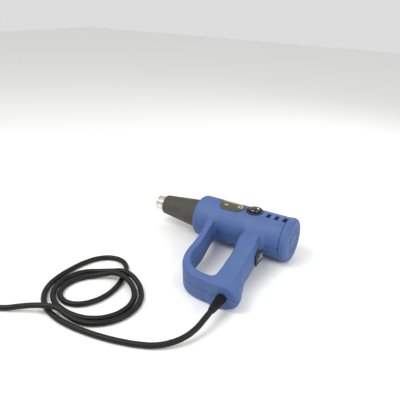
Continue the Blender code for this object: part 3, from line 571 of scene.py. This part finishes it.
def handled_body(x, y, z, inset=0.0):
    """Body, grip and guard in one, with fillets; inset moves every face inwards."""
    guard = rounded_corner(outline_distance(x, y, GUARD) + inset, np.abs(z) - GUARD_HALF + inset, 4.5)
    body = body_field(x, np.hypot(y, z), inset)
    whole = either(either(body, guard, 8.0), grip_field(x, y, z, inset), 9.0)
    # The fillets would swell the sides where grip and bottom bar overlap, so the handle is held flat.
    return np.maximum(whole, np.abs(z) - HANDLE_HALF + inset - np.maximum(y - HANDLE_FLAT_BELOW, 0.0))


def housing_field(x, y, z, side):
    """One clamshell half: side is 1 for the left half and -1 for the right one."""
    solid = handled_body(x, y, z)
    heel = np.maximum(np.maximum(253.5 - x, y + 161.5), -solid - 0.8)
    solid = minus(solid, heel, 0.6)
    from_dial = np.hypot(x - DIAL[0], y - DIAL[1])
    if side > 0:
        boss = np.maximum(np.maximum(from_dial - 16.0, z - DIAL_SEAT), 25.0 - z)
        solid = either(solid, boss, 1.6)
    radius = np.hypot(y, z)
    from_screw = np.min([np.hypot(x - sx, y - sy) for sx, sy in SCREWS], axis=0)
    cavity = both(handled_body(x, y, z, WALL), 4.6 - from_screw, 1.0)
    solid = minus(solid, cavity, 0.4)
    solid = minus(solid, np.maximum(radius - COLLAR_R - 0.3, x - 105.0), 0.4)
    solid = minus(solid, np.maximum(np.hypot(x - EXIT_X, z) - 7.3, y + 185.0), 0.4)
    switch_seat = np.maximum(np.maximum(np.abs(y - SWITCH[1]) - 14.5, np.abs(z) - 10.5), SWITCH[0] + 0.4 - x)
    solid = minus(solid, switch_seat, 0.4)
    switch_hole = np.maximum(np.maximum(np.abs(y - SWITCH[1]) - 12.3, np.abs(z) - 8.3),
                             np.abs(x - SWITCH[0] + 7.5) - 8.5)
    solid = minus(solid, switch_hole, 0.4)
    if side > 0:
        solid = minus(solid, np.maximum(from_dial - 16.2, DIAL_SEAT - z), 0.3)
        solid = minus(solid, np.maximum(from_dial - 3.5, 25.0 - z), 0.3)
        from_window = np.min([np.abs(x - wx) for wx in WINDOW_XS], axis=0)
        middle, half = sum(WINDOW_SPAN) / 2, (WINDOW_SPAN[1] - WINDOW_SPAN[0]) / 2
        window = rounded_corner(from_window - WINDOW_HALF, np.abs(y - middle) - half, 0.8)
        solid = minus(solid, np.maximum(window, 30.0 - z), 0.4)
        label = outline_distance(x, BODY_R * np.arctan2(y, z), LABEL) - 0.8
        solid = minus(solid, np.maximum(label, BODY_R - 0.9 - radius), 0.3)
        solid = minus(solid, np.maximum(from_screw - 1.9, z - 13.0), 0.3)
    else:
        solid = minus(solid, np.maximum(from_screw - 3.5, z + 15.0), 0.3)
        solid = minus(solid, from_screw - 1.9, 0.3)
    return both(solid, PARTING - side * z, 0.7)


def zero_surface(field, low, high, step):
    """Quads on the zero surface of a field, on the field to within a few hundredths."""
    axes = [np.arange(a, b + step, step) for a, b in zip(low, high)]
    x, y, z = axes[0][:, None, None], axes[1][None, :, None], axes[2][None, None, :]
    value = field(x, y, z)
    inside = value < 0.0
    corners = [(i, j, k) for i in (0, 1) for j in (0, 1) for k in (0, 1)]
    cells = [size - 1 for size in value.shape]
    at = lambda grid, c: grid[c[0]:c[0] + cells[0], c[1]:c[1] + cells[1], c[2]:c[2] + cells[2]]
    count = sum(at(inside, c).astype(np.int8) for c in corners)
    mixed = (count > 0) & (count < 8)
    number = np.full(mixed.shape, -1)
    number[mixed] = np.arange(mixed.sum())
    places = np.argwhere(mixed)
    known = [value[tuple((places + c).T)] for c in corners]
    total, hits = np.zeros((len(places), 3)), np.zeros(len(places))
    for a, first in enumerate(corners):
        for b, second in enumerate(corners):
            if b > a and sum(p != q for p, q in zip(first, second)) == 1:
                crossing = (known[a] < 0) != (known[b] < 0)
                share = np.where(crossing, known[a] / np.where(crossing, known[a] - known[b], 1.0), 0.0)
                way = np.array(second) - np.array(first)
                total += (np.array(first) + share[:, None] * way) * crossing[:, None]
                hits += crossing
    points = np.array(low) + (places + total / hits[:, None]) * step
    quads = []
    for axis in range(3):
        u, v = (axis + 1) % 3, (axis + 2) % 3
        lower = np.take(inside, range(inside.shape[axis] - 1), axis)
        upper = np.take(inside, range(1, inside.shape[axis]), axis)
        edges = np.argwhere(lower != upper)
        outward = lower[tuple(edges.T)]
        near, far = np.eye(3, dtype=int)[u], np.eye(3, dtype=int)[v]
        ring = np.stack([number[tuple((edges - shift).T)] for shift in (near + far, far, 0 * far, near)], 1)
        quads.append(np.where(outward[:, None], ring, ring[:, ::-1]))
    nudge = 0.05
    for _ in range(3):
        here = field(*points.T)
        slope = np.stack([(field(*(points + nudge * way).T) - here) / nudge for way in np.eye(3)], 1)
        move = here[:, None] * slope / np.maximum((slope ** 2).sum(1), 0.1)[:, None]
        points -= np.clip(move, -0.35 * step, 0.35 * step)
    return points, np.concatenate(quads)


def make_housing_half(name, side, step):
    reach = (PARTING - 1.0, 41.0)
    depth = reach if side > 0 else (-reach[1], -reach[0])
    points, quads = zero_surface(lambda x, y, z: housing_field(x, y, z, side), (94.0, -195.5, depth[0]),
                                 (273.5, 41.0, depth[1]), step)
    mesh = bpy.data.meshes.new(name)
    mesh.from_pydata(points.tolist(), [], quads.tolist())
    add_piece("shell_" + name, mesh, GUN, ["nylon_blue"], "gun", [name], sharp=38.0)


HOUSING_STEP = 1.0
make_housing_half("housing_left", 1, HOUSING_STEP)
make_housing_half("housing_right", -1, HOUSING_STEP)


# ---- barrel ----------------------------------------------------------------------------------------
def make_barrel():
    sleeve = [(17.5, 15.9, 0.5), (17.5, 18.6, 1.2), (93.2, 27.3, 0.5), (93.2, 27.9, 0.3), (96.7, 27.9, 0.4),
              (96.7, 26.0), (104.0, 26.0), (104.0, 24.0), (95.0, 24.0), (21.0, 16.2)]
    add_piece("sleeve", turned("sleeve", sleeve, segments=128), GUN, ["resin_sleeve"], "gun",
              ["barrel_sleeve"])
    tube = [(0.0, TUBE_BORE_R, 0.4), (0.0, 14.2, 0.4), (7.0, 14.2, 0.4), (8.0, TUBE_R, 0.5), (90.0, TUBE_R),
            (90.0, 22.0), (91.5, 22.0), (91.5, TUBE_BORE_R)]
    slot = block("slot", (3.0, -20.0, -1.6), (12.0, -10.0, 1.6), 0.5)
    tube_mesh = carved(turned("tube", tube, segments=128), slot)
    add_piece("outlet", tube_mesh, GUN, ["stainless_tube"], "gun", ["outlet_tube"], 30.0)
    wire = grown("heater", WINDING, {"Turns": 11.0, "Radius": 11.45, "Length": 60.0, "Wire": 0.45,
                                     "Material": FINISHES["resistance_wire"]})
    upright = Matrix.Translation((24.0, 0.0, 0.0)) @ Matrix.Rotation(math.pi / 2, 4, "Y")
    add_piece("heater_wire", wire, GUN @ upright, ["resistance_wire"], "gun",
              ["heating_coil"])


# ---- rear cap --------------------------------------------------------------------------------------
def make_cap():
    skirt = BODY_R - WALL - 4.0
    profile = [(BODY_REAR - 9, skirt - 2.2), (BODY_REAR - 9, skirt), (BODY_REAR + 0.3, skirt),
               (BODY_REAR + 0.3, CAP_R - 0.9, 0.4), (BODY_REAR + 1.4, CAP_R, 0.8)]
    profile += [(LENGTH - 7.5 + 7.5 * math.sin(t), CAP_R - 7.5 + 7.5 * math.cos(t))
                for t in np.linspace(0.0, math.pi / 2, 12)]
    profile += [(LENGTH, 0.0), (LENGTH - 2.8, 0.0), (LENGTH - 2.8, skirt - 2.2)]
    start = profile.index((LENGTH - 2.8, 0.0))
    order = profile[start:] + profile[:start]
    cap = turned("cap", order, segments=160)
    slot = block("slot", (LENGTH - 8, -0.6, 12.0), (LENGTH + 5, 0.6, 27.5), 0.3)
    cap = carved(cap, ring_of(slot, 24, "nylon_blue", math.pi / 24))
    add_piece("cap", cap, GUN, ["nylon_blue"], "gun", ["rear_cap"], 30.0)


make_barrel()
make_cap()


# ---- cord and plug -------------------------------------------------------------------------------
def past_coil(distance, height):
    """A point on the line that leaves the coil along its tangent, in bench millimetres."""
    out = Vector((math.cos(COIL_EXIT), math.sin(COIL_EXIT))) * COIL_R
    along = Vector((math.sin(COIL_EXIT), -math.cos(COIL_EXIT))) * distance
    return Vector((COIL_CENTRE[0] + out.x + along.x, COIL_CENTRE[1] + out.y + along.y, height))


def cord_points():
    """The cord's own points in metres, from the strain relief to the plug."""
    bench = [Vector(point) for point in CORD_START + CORD_HOOK]
    for angle, radius, height in CORD_LOOPS:
        turn = math.radians(angle)
        bench.append(Vector((LOOP_CENTRE[0] + radius * math.cos(turn),
                             LOOP_CENTRE[1] + radius * math.sin(turn), height)))
    bench += [Vector(point) for point in CORD_END]
    for k in range(22):
        share = k / 21
        turn = COIL_START - COIL_SWEEP * share
        bench.append(Vector((COIL_CENTRE[0] + COIL_R * math.cos(turn),
                             COIL_CENTRE[1] + COIL_R * math.sin(turn), 4.4 + COIL_RISE * share)))
    bench += [past_coil(*point) for point in TAIL]
    return [GUN @ Vector((EXIT_X, BOOT_END, 0.0))] + [BENCH @ point for point in bench]


def make_cord():
    points = cord_points()
    curve = bpy.data.curves.new("cord", "CURVE")
    curve.dimensions = "3D"
    curve.resolution_u = 10
    spline = curve.splines.new("BEZIER")
    spline.bezier_points.add(len(points) - 1)
    for knot, point in zip(spline.bezier_points, points):
        knot.co = point
        knot.handle_left_type = knot.handle_right_type = "AUTO"
    curve.bevel_depth = CORD_R * MM
    curve.bevel_resolution = 5
    curve.use_fill_caps = True
    curve.materials.append(FINISHES["cord_rubber"])
    cord = bpy.data.objects.new("cord", curve)
    bpy.context.scene.collection.objects.link(cord)
    bpy.context.view_layer.update()
    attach(cord, "gun")
    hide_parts("power_cord", "cord_coil", "cord_tail")
    return cord, points[0], spline.calc_length()


def make_strain_relief():
    """Tapered rubber boot with grooves round it, as on a boot made to bend; this piece is rigid."""
    top, end = HANDLE_BOTTOM + WALL + 0.3, BOOT_END
    profile = [(top + 3.0, 0.0), (top + 3.0, 9.0, 0.4), (top, 9.0, 0.3), (top, 7.0),
               (HANDLE_BOTTOM - 1.0, 7.0), (HANDLE_BOTTOM - 1.6, 8.2, 0.5)]
    for k in range(7):
        start = HANDLE_BOTTOM - 4.4 - 3.4 * k
        radius = 8.0 - 0.29 * k
        profile += [(start, radius, 0.3), (start - 0.1, radius - 1.4, 0.3), (start - 1.3, radius - 1.4, 0.3),
                    (start - 1.4, radius - 0.1, 0.3)]
    profile += [(end + 0.2, 5.3, 0.5), (end, 4.9, 0.2), (end, 0.0)]
    return add_piece("boot", turned("boot", profile, "Y", (EXIT_X, 0, 0), 48), GUN, ["cord_rubber"], "gun",
                     ["strain_relief"], 30.0)


def make_plug():
    """Round two-pin plug: tapered neck, fluted body and two nickel-plated pins."""
    place = (BENCH @ Matrix.Translation(past_coil(PLUG_START, PLUG_HEIGHT))
             @ Matrix.Rotation(COIL_EXIT - math.pi / 2, 4, "Z"))
    profile = [(0.0, 0.0), (0.0, 5.4, 0.4)]
    for k in range(5):
        profile += [(5.0 + 4.0 * k, 6.0 + 0.5 * k, 0.3), (5.1 + 4.0 * k, 5.0 + 0.5 * k, 0.3),
                    (6.5 + 4.0 * k, 5.0 + 0.5 * k, 0.3), (6.6 + 4.0 * k, 6.2 + 0.5 * k, 0.3)]
    profile += [(26.0, 8.6, 1.5), (30.0, 11.0, 2.0), (36.0, 17.0, 3.0), (39.0, 19.0, 2.0),
                (63.0, 19.0, 0.8), (64.0, 18.0, 0.5), (64.0, 0.0)]
    body = turned("plug", profile, segments=96)
    flute = block("flute", (42.0, -1.1, 18.2), (58.0, 1.1, 22.0), 0.4)
    body = carved(body, ring_of(flute, 14, "satin_abs"))
    for side in PIN_SIDES:
        socket = turned("socket", [(59.0, 0.0), (59.0, 2.7), (70.0, 2.7), (70.0, 0.0)], "X", (0, side, 0), 32)
        body = carved(body, socket)
    pieces = [add_piece("plug", body, place, ["satin_abs"], "gun", ["plug_body"])]
    for k, side in enumerate(PIN_SIDES):
        pin = turned("pin", [(59.3, 0.0), (59.3, 2.4), (81.5, 2.4, 0.8), (83.0, 1.2, 0.5), (83.0, 0.0)], "X",
                     (0, side, 0), 40)
        pieces.append(add_piece("pin_%d" % (k + 1), pin, place, ["nickel_pins"], "gun",
                                ["plug_pin_%d" % (k + 1)]))
    return pieces


cord, cord_exit, cord_length = make_cord()
[make_strain_relief()] + make_plug()


# ---- label, dial and windows ---------------------------------------------------------------------
def wrapped(name, outline, inner, outer, rows=48):
    """An outline in the label's flat plane, wrapped round the body between two radii."""
    edges = list(zip(outline, outline[1:] + outline[:1]))
    low, high = min(p[1] for p in outline), max(p[1] for p in outline)
    points, faces = [], []
    for k in range(rows + 1):
        level = low + (high - low) * min(max(k / rows, 1e-4), 1 - 1e-4)
        hits = [a[0] + (b[0] - a[0]) * (level - a[1]) / (b[1] - a[1]) for a, b in edges
                if (a[1] - level) * (b[1] - level) < 0]
        across = Vector((0.0, math.sin(level / BODY_R), math.cos(level / BODY_R)))
        for x, radius in ((min(hits), inner), (max(hits), inner), (max(hits), outer), (min(hits), outer)):
            points.append(Vector((x, 0.0, 0.0)) + across * radius)
        if k:
            base = 4 * k
            faces += [[base - 4 + j, base - 4 + (j + 1) % 4, base + (j + 1) % 4, base + j] for j in range(4)]
    faces += [[0, 1, 2, 3], [4 * rows + j for j in range(4)]]
    return closed_mesh(name, points, faces)


def make_label():
    rounded = softened([(x, y, 3.0) for x, y in LABEL])
    add_piece("label", wrapped("label", rounded, 38.3, 39.0), GUN, ["label_film"], "gun",
              ["label_plate"])
    marks = [[(143.5, 10.0), (181.5, 10.0), (178.5, 14.0), (140.5, 14.0)],
             [(151.0, -4.6), (157.5, -4.6), (156.5, -2.4), (150.0, -2.4)],
             [(176.5, -3.4), (185.0, -3.4), (185.0, -2.0), (176.5, -2.0)],
             [(176.5, 2.8), (185.0, 2.8), (185.0, 4.2), (176.5, 4.2)],
             [(176.5, -2.0), (177.7, -2.0), (177.7, 2.8), (176.5, 2.8)],
             [(183.8, -2.0), (185.0, -2.0), (185.0, 2.8), (183.8, 2.8)]]
    for k, mark in enumerate(marks):
        add_piece("label_mark_%d" % (k + 1), wrapped("mark", mark, 38.95, 39.06, 4), GUN, ["label_ink"],
                  "gun")


def make_dial():
    centre = (*DIAL, 0.0)
    low = DIAL_SEAT + 0.3
    bezel = [(low, 10.8), (low, 14.8, 0.2), (low + 1.5, 14.8, 0.7), (low + 2.3, 13.8, 0.5),
             (low + 2.3, 11.4, 0.4), (low + 1.7, 10.8, 0.2)]
    add_piece("bezel", turned("bezel", bezel, "Z", centre), GUN, ["satin_abs"], "gun",
              ["dial_bezel"], 30.0)
    dome = [(low + 3.2 + 4.2 * math.sin(t), 10.2 * math.cos(t)) for t in np.linspace(0, 1.45, 16)]
    knob = [(low + 3.6, 0.0), (low + 3.6, 3.2), (low, 3.2), (low, 10.2, 0.3)] + dome + [(low + 7.4, 0.0)]
    knob = turned("knob", knob, "X", segments=128)
    notch = block("notch", (low - 1.0, -0.35, 9.7), (low + 3.4, 0.35, 11.0))
    knob = carved(knob, ring_of(notch, 30, "gloss_abs"))
    pointer = block("pointer", (low + 2.5, -0.7, 5.4), (low + 9.0, 0.7, 11.0), 0.3)
    knob = carved(knob, pointer)
    knob.transform(Matrix.Translation(centre) @ TURN["Z"].to_4x4())
    add_piece("knob", knob, GUN, ["gloss_abs"], "dial", ["dial_knob"], 32.0)


def make_windows():
    half = WINDOW_HALF - 0.3
    tile = block("tile", (-half, WINDOW_SPAN[0] + 0.3, 33.6), (half, WINDOW_SPAN[1] - 0.3, 37.2), 0.5)
    tiles = scattered(tile, [(x, 0.0, 0.0) for x in WINDOW_XS], "navy_insert")
    plate = block("plate", (230.0, -9.9, 33.0), (270.0, 5.5, 34.6), 0.4)
    add_piece("windows", carved(plate, tiles, "UNION"), GUN, ["navy_insert"], "gun",
              ["vent_insert"])


# ---- switch --------------------------------------------------------------------------------------
def slab(name, outline, low, high, rounding):
    """An outline given depth across the gun, with its edges rounded."""
    shape = bmesh.new()
    face = shape.faces.new([shape.verts.new((x, y, low)) for x, y in outline])
    raised = bmesh.ops.extrude_face_region(shape, geom=[face])["geom"]
    bmesh.ops.translate(shape, verts=[v for v in raised if isinstance(v, bmesh.types.BMVert)],
                        vec=(0.0, 0.0, high - low))
    bmesh.ops.recalc_face_normals(shape, faces=shape.faces[:])
    bmesh.ops.bevel(shape, geom=shape.edges[:], offset=rounding, segments=3, profile=0.5, affect="EDGES")
    mesh = bpy.data.meshes.new(name)
    shape.to_mesh(mesh)
    shape.free()
    return mesh


def make_switch():
    x, y = SWITCH
    seat = x + 0.7
    body = carved(block("body", (x - 15.5, y - 12.0, -8.0), (seat + 0.5, y + 12.0, 8.0), 0.4),
                  block("bezel", (seat, y - 14.2, -10.2), (seat + 1.8, y + 14.2, 10.2), 0.7), "UNION")
    body = carved(body, block("pocket", (x - 7.5, y - 10.8, -6.6), (seat + 5.0, y + 10.8, 6.6), 0.3))
    add_piece("switch", body, GUN, ["satin_abs"], "gun", ["switch_body"])
    outline = [(-4.5, -3.0), (-4.5, 3.0), (-1.0, 9.8), (3.8, 10.0), (4.6, 9.6), (3.4, 5.0), (2.9, 0.0),
               (3.4, -5.0), (4.6, -9.6), (3.8, -10.0), (-1.0, -9.8)]
    rocker = slab("rocker", [(x - 1.0 + px, y + py) for px, py in outline], -6.0, 6.0, 0.35)
    add_piece("rocker", rocker, GUN, ["gloss_abs"], "rocker", ["switch_rocker"])
    # Two pale bars at the rocker's ends, in the label's ink: partly printed switch marks, partly a painted
    # highlight standing in for small pale glints on the rocker.
    marks_and_highlight = scattered(block("bar", (x + 2.0, y - 0.5, -2.0), (x + 3.0, y + 0.5, 2.0), 0.1),
                     [(0.15, 7.0, 0.0), (0.15, -7.0, 0.0)], "label_ink")
    add_piece("rocker_bars", marks_and_highlight, GUN, ["label_ink"], "rocker")


# ---- screws --------------------------------------------------------------------------------------
def make_screws():
    """Pan-head screws with a cross recess, driven from the right half."""
    pin = turned("screw", [(-17.8, 0.0), (-17.8, 2.2, 0.4), (-16.9, 3.1, 0.6), (-15.3, 3.1, 0.1),
                           (-15.3, 1.5), (11.2, 1.5, 0.2), (12.0, 0.8), (12.0, 0.0)], "Z", segments=32)
    for low, high in (((-1.7, -0.35, -19.0), (1.7, 0.35, -16.2)),
                      ((-0.35, -1.7, -19.0), (0.35, 1.7, -16.2))):
        pin = carved(pin, block("recess", low, high))
    screws = scattered(pin, [(x, y, 0.0) for x, y in SCREWS], "zinc_steel")
    add_piece("screws", screws, GUN, ["zinc_steel"], "gun",
              ["housing_screw_%d" % (k + 1) for k in range(len(SCREWS))])


make_label()
make_dial()
make_windows()
make_switch()
make_screws()

# ---- parts shown as they are -----------------------------------------------------------------------
AS_MADE = {"blue_case": "nylon_blue", "dark_sleeve": "resin_sleeve", "black_plastic": "satin_abs",
           "label_film": "label_film", "vent_plastic": "navy_insert", "steel": "zinc_steel",
           "heater_wire": "resistance_wire", "ceramic": "ceramic_raw", "mica": "mica_paper",
           "board": "board_green", "filter_foam": "filter_foam", "cord_rubber": "cord_rubber",
           "brass": "brass_bright"}
for node in frame["nodes"].values():
    for place in node.material_slots:
        finish = FINISHES[AS_MADE[place.material.name.split(".")[0]]]
        place.link = "OBJECT"
        place.material = finish


# ---- floor and light -------------------------------------------------------------------------------
def make_stage():
    floor = bpy.data.meshes.new("floor")
    floor.from_pydata([(-4, -4, 0), (4, -4, 0), (4, 4, 0), (-4, 4, 0)], [], [(0, 1, 2, 3)])
    made, _, shader, _ = new_finish("pale_floor", Roughness=0.7)
    shader.inputs["Base Color"].default_value = linear("#F4F4F2")
    floor.materials.append(made)
    ground = bpy.data.objects.new("floor", floor)
    bpy.context.scene.collection.objects.link(ground)
    world = bpy.data.worlds.new("studio")
    world.use_nodes = True
    world.node_tree.nodes["Background"].inputs["Color"].default_value = linear("#FFFFFF")
    world.node_tree.nodes["Background"].inputs["Strength"].default_value = 0.72
    bpy.context.scene.world = world
    for name, place, aim, size, power in (("key", (-0.5, -0.7, 1.3), (0, 0, 0), 0.9, 14.0),
                                          ("fill", (1.3, -0.3, 0.7), (0, 0, 0), 0.7, 7.0),
                                          ("back", (0.126, 1.01, 0.83), (0.07, 0.07, 0.08), 0.3, 2.6)):
        data = bpy.data.lights.new(name, "AREA")
        data.size, data.energy = size, power
        lamp = bpy.data.objects.new(name, data)
        bpy.context.scene.collection.objects.link(lamp)
        lamp.location = place
        lamp.rotation_euler = (Vector(aim) - Vector(place)).to_track_quat("-Z", "Y").to_euler()
    bpy.context.scene.view_settings.view_transform = "Standard"


make_stage()
